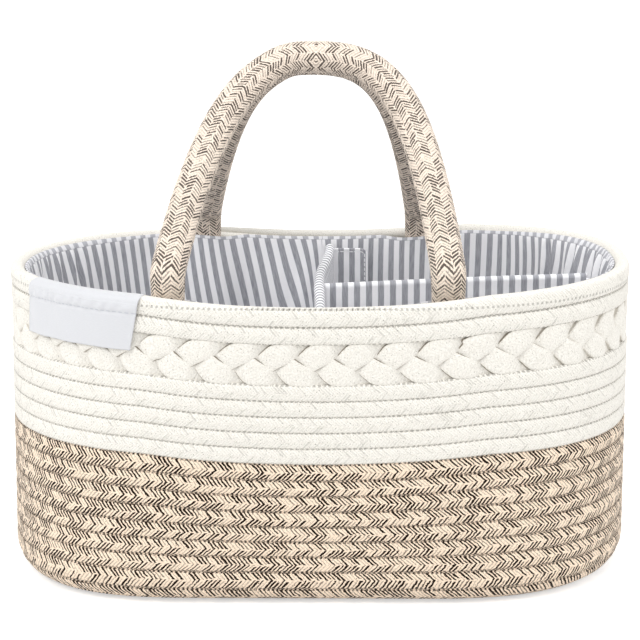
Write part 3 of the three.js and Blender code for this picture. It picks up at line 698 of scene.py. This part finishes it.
def liner_side(count=560, levels=64):
    """The side panel. It bellies between floor and rim and is gathered at the body's ends."""
    steps, length = steps_by_way(LINER_INSET, LINER_LEVEL, count)
    bottom = LINER_FLOOR + FOOT_LIFT
    z = mix(bottom, LINER_TOP, np.linspace(0, 1, levels))
    z[:5] = bottom + FOOT_ROUND * np.array([0, 0.08, 0.28, 0.6, 1.0])
    tucked = np.arccos(np.clip(1 - (z - z[0]) / FOOT_ROUND, 0, 1))
    foot = FOOT_ROUND * (1 - np.sin(tucked))
    z = z[None, :]
    steps = steps[:, None]
    w = np.arange(count)[:, None] * length / count
    high = (z - LINER_FLOOR) / (LINER_TOP - LINER_FLOOR)
    x = outline(steps, LINER_INSET, LINER_LEVEL)[..., 0]
    at_end = smooth((np.abs(x) - 120) / 50)

    # How far it hangs into the body: slow waves, gathers at the ends, and two pulls at the back
    belly = np.sin(np.pi * np.clip(high, 0, 1)) ** 0.8
    waves = (
        0.9 * np.sin(w / 31 + 0.8) + 0.7 * np.sin(w / 17.3 + 2.1 + high)
        + 0.45 * np.sin(w / 8.9 + 1.3 - 2 * high) + 0.35 * np.sin(w / 5.1 + 3 * high)
    )
    fold = 1.3 * np.sin(w / 2.1 + 0.9 * np.sin(w / 13)) + 0.7 * np.sin(w / 1.27 + 1)
    gather = at_end * high ** 3 * (1 - high ** 18) * (1.7 + fold) * (1 + 0.7 * (x > 0))
    sag = np.maximum(0.9 + belly * (1.1 + waves * 0.9), 0.1) + gather
    at_back = np.where(np.sin(steps * np.pi / 12) > 0, 1.0, 0.0)
    sag = sag + at_back * bump(z, 138, 30) * (3.4 * bump(x, -15, 7) + 1.6 * bump(x, -38, 9))
    hem = 0.45 * bump(z, LINER_TOP - HEM_DROP, 0.6)
    curl = mix(0.6, 1.5, at_end) * smooth((z - LINER_TOP + 4.5) / 6) ** 1.5
    middle = LINER_INSET + 0.6 + foot[None, :] + belly * sag + gather - hem - curl
    z = z + mix(0.0, 1.2, at_end) * smooth((z - LINER_TOP + 8) / 8)

    # It lies flat over the handles' sewn ends
    back = outline(steps, middle, z)
    y = back[..., 1]
    clear = smooth((z - 104) / 16) * bulge_share(back[..., 0], y)
    pressed = np.sign(y) * np.minimum(np.abs(y), HANDLE_CLEAR - 0.6 * belly)
    surface = back.copy()
    surface[..., 1] = mix(y, pressed, clear)
    toward = outline(steps, middle + LINER_THICK, z) - back
    outer = surface - 0.5 * toward
    inner = surface + 0.5 * toward

    # The stripes stand upright on the long sides and lean where the cloth is pulled
    side = np.where(y > 0, -1, 1)
    upright = side * (surface[..., 0] - x) * (1 - at_end)
    slope = mix(0.15, 0.0, smooth((x + 12) / 24)) - 0.05 * smooth((x - 60) / 20)
    slope = (slope + 0.12 * bump(x, -16, 14)) * (y > 0)
    right = at_end * (x > 0)
    lean = -(LINER_TOP - z) * slope + 1.6 * np.sin(w / 19 + 4 * high) * high
    lean = lean + right * 3.6 * np.sin(z / 13 + w / 23) * high
    u = w + upright + side * (lean + right * 9 * high ** 3)
    place = np.stack([u, z + 0 * w], -1)
    place = np.concatenate([place, place[:, ::-1], place[:, :1]], 1)
    place = np.concatenate([place, place[:1] + [[length, 0]]], 0) * MM
    return tube_parts(np.concatenate([outer, inner[:, ::-1]], 1), place, looped=True)


liner = link("liner_cloth", *liner_side())
finish(liner, lining, ("liner_side",))


def floor_mesh(count=200, rings_in=40):
    """The floor panel: a lower layer and a slightly puckered upper one, in rings."""
    steps, _ = steps_by_way(LINER_INSET, 20.0, count)
    share = 1 - np.linspace(0, 0.9995, rings_in) ** 1.2
    edge = LINER_INSET + 5.6
    inset = edge + (HALF_WIDTH - edge) * (1 - share)
    low = outline(steps[:, None], inset[None, :], np.full((count, rings_in), LINER_FLOOR + 0.1))
    pucker = 0.15 * np.sin(low[..., 0] / 9) * np.sin(low[..., 1] / 11) * (1 - share ** 6)
    high = low.copy()
    high[..., 2] += LINER_THICK * (1 - 0.5 * (share > 0.995)) + (pucker + 0.15)
    loop = np.concatenate([low[:, ::-1], high], 1)
    place = np.concatenate([loop, loop[:, :1]], 1)[..., :2]
    place = np.concatenate([place, place[:1]], 0) * MM
    return tube_parts(loop, place, looped=True)


floor_cloth = link("liner_floor_cloth", *floor_mesh())
finish(floor_cloth, striped, ("liner_floor",))

# --- Divider ---

DIVIDER_BOTTOM, DIVIDER_TOP = 11.54, 168.0
CUT_LENGTH = 22  # of a rounded lower corner
SEAM_DROP = 6  # the seam below the top edge
CROSS_END, CROSS_THICK, CROSS_X = 113.1, 6.4, 2.0
ARM_START, ARM_END, ARM_THICK, ARM_TURN, ARM_SEAM = -6.4, 160.5, 5.6, 0.1047, (8.6, -5.0)
CORNER_CUT, ARM_DROP = 14, 3.0


def spread_ends(count, low, high, round_end):
    """Places from low to high, closer together within round_end of each."""
    turn = np.linspace(0, np.pi / 2, 7)
    near = round_end * (1 - np.cos(turn))
    inside = np.linspace(low + round_end, high - round_end, count)
    return np.concatenate([low + near[:-1], inside, (high - near[:-1])[::-1]])


def slab(along, low, high, share, profile, sway):
    """A piece of cloth or padding standing along +X: points, faces, places and edge distances.

    low and high are its lower and upper edge at each place along, profile gives the half thickness,
    and sway moves its middle surface out of the upright plane."""
    lx = along[:, None] + 0 * share[None, :]
    z = low[:, None] + share[None, :] * (high - low)[:, None]
    edge = np.minimum(z - low[:, None], high[:, None] - z)
    edge = np.minimum(np.minimum(lx - along[0], along[-1] - lx), edge)
    half = profile(lx, z, edge)
    middle = sway(lx, z)
    faces_at = [np.stack([lx, middle + side * half, z], -1) for side in (-1, 1)]
    points = np.stack(faces_at).reshape(-1, 3)
    index = np.arange(lx.size).reshape(lx.shape)
    other = index + lx.size
    border = np.ones(lx.shape, bool)
    border[1:-1, 1:-1] = False
    other[border] = index[border]
    start, stop = slice(None, -1), slice(1, None)
    square = ((start, start), (stop, start), (stop, stop), (start, stop))
    faces, corners, edges = [], [], []
    for grid, order in ((index, square), (other, square[::-1])):
        faces += np.stack([grid[part] for part in order], -1).reshape(-1, 4).tolist()
        for kept, a, b in ((corners, lx, z), (edges, edge, lx + z)):
            pairs = [np.stack([a[part], b[part]], -1) for part in order]
            kept.append(np.stack(pairs, 2).reshape(-1, 2))
    used, remap = np.unique(np.array(faces), return_inverse=True)
    faces = remap.reshape(-1, 4).tolist()
    return points[used], faces, np.concatenate(corners) * MM, np.concatenate(edges) * MM


def rounded(off, radius):
    """The height of a quarter circle, from 0 at the edge to 1 at the radius."""
    off = np.clip(off / radius, 0, 1)
    return np.sqrt(np.clip(1 - (1 - off) ** 2, 0, 1))


def panel(start, end, thickness, cut_start, cut_end, bow, seed, drop=0.0):
    """A padded panel with a seam along its top and rounded lower corners.

    Its top bends sideways by bow, and is lower by drop at the start."""
    radius = thickness / 2
    along = spread_ends(90, start, end, radius)
    tall = spread_ends(50, 0.0, DIVIDER_TOP - DIVIDER_BOTTOM, radius)
    cut = cut_start * smooth((start + CUT_LENGTH - along) / CUT_LENGTH)
    cut = cut + cut_end * smooth((along - end + CUT_LENGTH) / CUT_LENGTH)

    def profile(x, z, edge):
        low, high = z[:, :1], z[:, -1:]
        ends = rounded(x - start, radius) * rounded(end - x, radius)
        ends = ends * rounded(z - low, radius) * rounded(high - z, radius)
        puff = 1 + 0.06 * np.sin(x / 13 + seed) * np.sin(z / 17 + seed)
        return radius * ends * puff * (1 - 0.14 * bump(high - z, SEAM_DROP, 0.9))

    def sway(x, z):
        rise = z / DIVIDER_TOP
        return bow(x) * rise ** 1.5 + 0.4 * np.sin(x / 24 + 2 * seed) * rise

    top = DIVIDER_TOP - drop * (1 - (along - start) / (end - start))
    return slab(along, DIVIDER_BOTTOM + cut, top, tall / tall[-1], profile, sway)


def turned(points, angle, x, y):
    """Points turned about the vertical and then moved."""
    c, s = math.cos(angle), math.sin(angle)
    out = points.copy()
    out[:, 0] = x + c * points[:, 0] - s * points[:, 1]
    out[:, 1] = y + s * points[:, 0] + c * points[:, 1]
    return out


def cross_bow(x):
    """How far the cross wall's top bends to the left, from its front to its back end."""
    return 1.4 * bump(x, 0, 55) - 3.3 * smooth((x - 20) / 90)


def arm_bow(x):
    """How far the arm's top bends to the back between its two ends."""
    return 1.2 * np.sin(math.pi * (x + 2.8) / 161.9)


points, *rest = panel(
    -CROSS_END, CROSS_END, CROSS_THICK, CORNER_CUT, CORNER_CUT, cross_bow, seed=0.7,
)
cross = link("divider_wall", turned(points, math.pi / 2, CROSS_X, 0.0), *rest)
finish(cross, striped, ("divider_cross_wall",), "divider")
points, *rest = panel(
    ARM_START, ARM_END, ARM_THICK, 0, CORNER_CUT, arm_bow, seed=2.2, drop=ARM_DROP,
)
arm = link("divider_side_arm", turned(points, ARM_TURN, *ARM_SEAM), *rest)
finish(arm, striped, ("divider_arm",), "divider_arm_body")

# --- Tabs and their strips ---


def tab_parts():
    """A cloth tab with rounded corners at its free end and a row of stitches near its edges."""
    bend = TAB_WIDE - TAB_CORNER * (1 - np.sin(np.linspace(0.2, np.pi / 2, 16)))
    along = np.concatenate([np.linspace(0, TAB_WIDE - TAB_CORNER, 40), bend])
    past = (along - TAB_WIDE + TAB_CORNER).clip(0) / TAB_CORNER
    corner = TAB_CORNER * (1 - np.sqrt(np.clip(1 - past ** 2, 0, 1)))
    tall = spread_ends(90, 0.0, 1.0, 0.02)

    def profile(x, z, edge):
        flat = mix(1.0, 0.85, smooth((edge - 3) / 1.5))
        return 0.78 * rounded(edge, 0.6) * (1 - 0.3 * bump(edge, TAB_STITCH, 0.35)) * flat

    def sway(x, z):
        crease = 0.4 * np.sin(x / 2.6 + z / 7) * smooth((z - 152) / 8)
        return (0.1 * np.sin(z / 11) + crease) * np.sin(np.pi * x / TAB_WIDE)

    return slab(along, TAB_LOW + corner, TAB_HIGH - corner, tall, profile, sway)


def strip_parts():
    """A strip of tape with a row of stitches near its edges."""
    along = np.linspace(STRIP_FROM, STRIP_TO, 20)
    low, high = np.full(20, STRIP_LOW), np.full(20, STRIP_HIGH)

    def profile(x, z, edge):
        return 0.45 * rounded(edge, 0.4) * (1 - 0.4 * bump(edge, 1.5, 0.4))

    return slab(along, low, high, np.linspace(0, 1, 60), profile, lambda x, z: 0 * x)


def standing(parts, side, depth, angle, x, y):
    """Parts moved out by depth to one side of their upright plane, and then turned and placed."""
    points, faces, corners, edges = parts
    points = points.copy()
    points[:, 1] = side * (points[:, 1] + depth)
    if side < 0:
        faces = [face[::-1] for face in faces]
        corners, edges = (uv.reshape(-1, 4, 2)[:, ::-1].reshape(-1, 2) for uv in (corners, edges))
    return turned(points, angle, x, y), faces, corners, edges


# Name, side that the tab lies to, turn and place of its seam, and depth of its loop strip
TABS = (
    ("back", 1, 0.0, 5.5, 107.9, 3.55),
    ("front", -1, 0.0, 5.5, -107.9, 3.55),
    ("end", 1, -math.pi / 2, 167.2, 11.0, 8.75),
)
for name, side, angle, x, y, loop_depth in TABS:
    body = name + "_tab"
    tab = link("cloth_tab_" + name, *standing(tab_parts(), side, TAB_DEPTH, angle, x, y))
    finish(tab, stitched, ("tab_" + name,), body)
    for kind, tape, depth, rider, under in (
        ("hook", hook_tape, HOOK_DEPTH, body, "cloth_tab_" + name),
        ("loop", loop_tape, loop_depth, "root", "liner_cloth"),
    ):
        strip = link(f"{kind}_tape_{name}", *standing(strip_parts(), side, depth, angle, x, y))
        finish(strip, tape, (f"{kind}_strip_{name}",), rider)

# --- Handles ---


def lean_of(rise):
    """How far a handle leans in, so that it touches the other at its top."""
    first = math.asin((HANDLE_LINE - CAD_WIDE) / rise)
    half = math.hypot(CAD_WIDE * math.sin(first), CAD_DEEP * math.cos(first))
    return math.asin((HANDLE_LINE - half - CAD_GAP) / rise)


def handle_line(facing, rise, spread, shift):
    """The middle line of a handle from the right foot to the left one, swaying as in the photo."""
    lean = lean_of(rise)
    turn = np.linspace(0, np.pi, 2400)
    across, up = np.cos(turn), rise * np.maximum(np.sin(turn), 0) ** ARCH_RISE
    arch = np.column_stack([
        spread * np.sign(across) * np.abs(across) ** ARCH_SQUARE,
        facing * (HANDLE_LINE - up * math.sin(lean)),
        PIVOT_Z + up * math.cos(lean),
    ])
    foot_z = np.linspace(FOOT_LOW, PIVOT_Z, 120, endpoint=False)
    foot = np.column_stack([np.full(120, spread), np.full(120, facing * HANDLE_LINE), foot_z])
    line = np.concatenate([foot, arch, foot[::-1] * [-1, 1, 1]]) + [shift, 0, 0]
    height = np.clip((line[:, 2] - PIVOT_Z) / (rise * math.cos(lean)), 0, 1)
    beside = smooth(np.abs(line[:, 0]) / 45)
    from_left = LEFT_SWAY * (1 - (1 - height) ** 2.2) * (line[:, 0] < 0)
    from_right = -RIGHT_SWAY * np.sin(np.pi * height ** 0.9) * (line[:, 0] > 0)
    line[:, 0] += beside * (from_left + from_right)
    return line


def handle_mesh(facing, rise, spread, shift, sides=64, spacing=0.75):
    """A handle rope with its braid in relief, and flattened ends."""
    line = handle_line(facing, rise, spread, shift)
    way = way_along(line)
    even = np.linspace(0, way[-1], int(way[-1] / spacing))
    line = np.stack([np.interp(even, way, line[:, i]) for i in range(3)], 1)
    kernel = np.hanning(2 * HANDLE_EASE + 1)
    kernel /= kernel.sum()
    padded = np.pad(line, ((HANDLE_EASE, HANDLE_EASE), (0, 0)), "edge")
    bent = np.stack([np.convolve(padded[:, i], kernel, "valid") for i in range(3)], 1)
    line[HANDLE_EASE + 1:-HANDLE_EASE - 1] = bent[HANDLE_EASE + 1:-HANDLE_EASE - 1]

    # Directions along, through and across the rope
    tangent = np.gradient(line, axis=0)
    tangent /= np.linalg.norm(tangent, axis=1)[:, None]
    lean = lean_of(rise)
    plane = np.array([0.0, facing * math.cos(lean), math.sin(lean)])
    leaning = smooth((line[:, 2] - 178) / 26)[:, None]
    depth = mix(np.array([0.0, float(facing), 0.0]), plane, leaning)
    depth -= (depth * tangent).sum(1)[:, None] * tangent
    depth /= np.linalg.norm(depth, axis=1)[:, None]
    wide = np.cross(tangent, depth)

    # The section, flat at the ends
    turn = section_turn(sides)
    full = smooth((line[:, 2] - 172) / 22)[:, None]
    half_wide = mix(FOOT_WIDE, HANDLE_WIDE, full)
    half_deep = mix(FOOT_DEEP, HANDLE_DEEP, full)
    width, deep = half_wide * np.cos(turn), half_deep * np.sin(turn)
    rings = line[:, None] + width[..., None] * wide[:, None] + deep[..., None] * depth[:, None]

    # The braid's relief
    around = np.linspace(-0.5, 0.5, sides + 1) * HANDLE_ROUND
    along = np.abs(even - even[-1] / 2)
    sector = HANDLE_ROUND / HANDLE_SECTORS
    zig = np.abs((around[:-1] / sector + 1.5) % 2 - 1) * sector
    phase = (along[:, None] + zig[None, :] * HANDLE_SLANT) / HANDLE_PITCH
    relief = 0.45 * (smooth((np.abs(phase % 1 - 0.5) - 0.02) / 0.38) - 0.6) * full
    tip = np.abs(around[:-1] / sector % 1 - 0.5)
    relief -= 0.25 * bump(tip, 0, 0.07)[None, :] * full
    normal = np.cos(turn)[None, :, None] * wide[:, None] / half_wide[..., None]
    normal = normal + np.sin(turn)[None, :, None] * depth[:, None] / half_deep[..., None]
    normal /= np.linalg.norm(normal, axis=2)[..., None]
    rings = rings + relief[..., None] * normal
    return tube_parts(rings, pattern(along[:, None], around))


HANDLES = (
    ("front", -1, FRONT_RISE, FRONT_SPREAD, FRONT_SHIFT),
    ("back", 1, BACK_RISE, BACK_SPREAD, BACK_SHIFT),
)
for name, facing, rise, spread, shift in HANDLES:
    rope = link("rope_handle_" + name, *handle_mesh(facing, rise, spread, shift))
    taken = ("handle_" + name, f"handle_end_{name}_left", f"handle_end_{name}_right")
    finish(rope, handle_rope, taken, body=None)
    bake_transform(rope)

# --- Label ---


def label_mesh(count=120):
    """A ribbon folded over the rim, with a stitched row and a slanted right edge."""
    outside, inside, top = -0.7, ROPE + 0.6, BODY_HEIGHT + 0.7
    middle, reach = (outside + inside) / 2, (inside - outside) / 2
    bend = np.radians(np.linspace(0, 180, 25))
    drop = np.linspace(top - LABEL_DROP, top - LABEL_BEND, 44)
    profile = np.concatenate([
        np.stack([np.full(44, outside), drop], 1),
        np.stack([middle - reach * np.cos(bend), top - LABEL_BEND + LABEL_BEND * np.sin(bend)], 1),
        [[inside, LINER_TOP + 0.3]],
    ])
    depth, z = profile.T[:, None, :]
    front, behind = depth < 1, depth > 1
    w = np.linspace(0, 1, count)[:, None]
    stitch = bump(z, top - 10.4, 0.8) * front
    wave = 0.35 * np.sin(w * 19 + z / 9) * front
    pucker = 0.5 * stitch * (0.5 + 0.5 * np.sin(w * 150))
    curl = 0.5 * np.exp(-np.minimum(w, 1 - w) * 60) * front
    inset = depth + 0.55 * stitch - np.maximum(wave, -0.2) - curl + pucker * 0.3
    band = bump(z, top - 7.5, 2.2) * front
    inset = inset - band * (0.35 + 0.5 * np.sin(w * 68 + np.sin(w * 23)))
    fall = np.clip((top - z) / LABEL_DROP, 0, 1) * front
    steps = np.linspace(LABEL_FROM, LABEL_TO, count)[:, None] - LABEL_SLANT * fall * w ** 2
    outer = outline(steps, inset - 0.35, z + 0.2 * behind)
    inner = outline(steps, inset + 0.1, z - 0.2 * behind)
    loop = np.concatenate([outer, inner[:, ::-1]], 1)
    flat = pattern(w * LABEL_WIDE, way_along(profile))
    return tube_parts(loop, np.concatenate([flat, flat[:, ::-1], flat[:, :1]], 1))


label = link("rim_label", *label_mesh())
finish(label, satin, ("label",))

# --- Stage ---

PHOTO_PIXELS, SENSOR = 640, 36.0
CAMERA = dict(D=1068.7, cx=22.1, cz=390.0, focal=1753.2, yaw=-0.0201, pitch=0.2294, roll=0.0044)
FLOOR_REACH, FLOOR_DROP, FLOOR_GLOW = 30.0, 0.0002, 0.5
FLOOR_GREY = (0.86, 0.86, 0.86, 1)
WORLD_LIGHT = 0.85
# Name, place, height of the point that it faces, size and power
LAMPS = (
    ("key", (-1.2, -1.55, 2.0), 0.12, 1.0, 13),
    ("left", (-2.0, -0.6, 1.1), 0.12, 1.6, 6),
    ("right", (2.0, -0.6, 1.1), 0.12, 1.6, 10.5),
    ("top", (-0.2, -0.5, 2.4), 0.1, 1.2, 18),
)


def add_camera(D, cx, cz, focal, yaw, pitch, roll):
    """The photo's camera, D in front of the middle and with its focal length in pixels."""
    cy, sy, cp, sp = math.cos(yaw), math.sin(yaw), math.cos(pitch), math.sin(pitch)
    ahead = np.array([cp * sy, cp * cy, -sp])
    level = np.array([cy, -sy, 0.0])
    above = np.array([sp * sy, sp * cy, cp])
    right = math.cos(roll) * level - math.sin(roll) * above
    up = math.sin(roll) * level + math.cos(roll) * above
    data = bpy.data.cameras.new("camera")
    data.sensor_width = SENSOR
    data.lens = focal / PHOTO_PIXELS * SENSOR
    data.clip_end = 50.0
    columns = np.eye(4)
    columns[:3] = np.stack([right, up, -ahead, np.array([cx, -D, cz]) * MM], 1)
    made = add_object("camera", data)
    made.matrix_world = Matrix(columns.tolist())
    bpy.context.scene.camera = made


def background_rays(tree):
    """1 for the rays that see the background: from the camera, in a gloss or through glass."""
    path = tree.nodes.new("ShaderNodeLightPath")
    seen = path.outputs["Is Camera Ray"]
    for name in ("Is Glossy Ray", "Is Transmission Ray"):
        both = tree.nodes.new("ShaderNodeMath")
        both.operation = "MAXIMUM"
        tree.links.new(seen, both.inputs[0])
        tree.links.new(path.outputs[name], both.inputs[1])
        seen = both.outputs[0]
    return seen


def add_floor():
    """A floor that is plain white to the camera and still takes the shadow."""
    mesh = bpy.data.meshes.new("floor")
    square = ((-1, -1), (1, -1), (1, 1), (-1, 1))
    mesh.from_pydata([(x * FLOOR_REACH, y * FLOOR_REACH, 0) for x, y in square], [], [(0, 1, 2, 3)])
    floor = add_object("floor", mesh)
    floor.location.z = -FLOOR_DROP
    f = Finish("floor", roughness=1.0, specular=0.0)
    f.put(f.shader.inputs["Base Color"], FLOOR_GREY)
    f.put(f.shader.inputs["Emission Color"], (1, 1, 1, 1))
    f.put(f.shader.inputs["Emission Strength"], f.mul(background_rays(f.tree), FLOOR_GLOW))
    floor.data.materials.append(f.material)


def add_world():
    """A white background that gives less light than it shows."""
    world = bpy.data.worlds.new("world")
    bpy.context.scene.world = world
    world.use_nodes = True
    tree = world.node_tree
    ground = tree.nodes["Background"]
    ground.inputs["Color"].default_value = (1, 1, 1, 1)
    scale = tree.nodes.new("ShaderNodeMapRange")
    tree.links.new(background_rays(tree), scale.inputs[0])
    scale.inputs[3].default_value = WORLD_LIGHT
    scale.inputs[4].default_value = 1.0
    tree.links.new(scale.outputs[0], ground.inputs["Strength"])


def add_lamp(name, place, aim, size, power):
    data = bpy.data.lights.new(name, "AREA")
    data.shape = "DISK"
    data.size = size
    data.energy = power
    made = add_object(name, data)
    made.location = place
    made.rotation_euler = (Vector((0, 0, aim)) - Vector(place)).to_track_quat("-Z", "Y").to_euler()


add_camera(**CAMERA)
add_floor()
add_world()
for lamp in LAMPS:
    add_lamp(*lamp)

bpy.context.scene.view_settings.view_transform = "Standard"
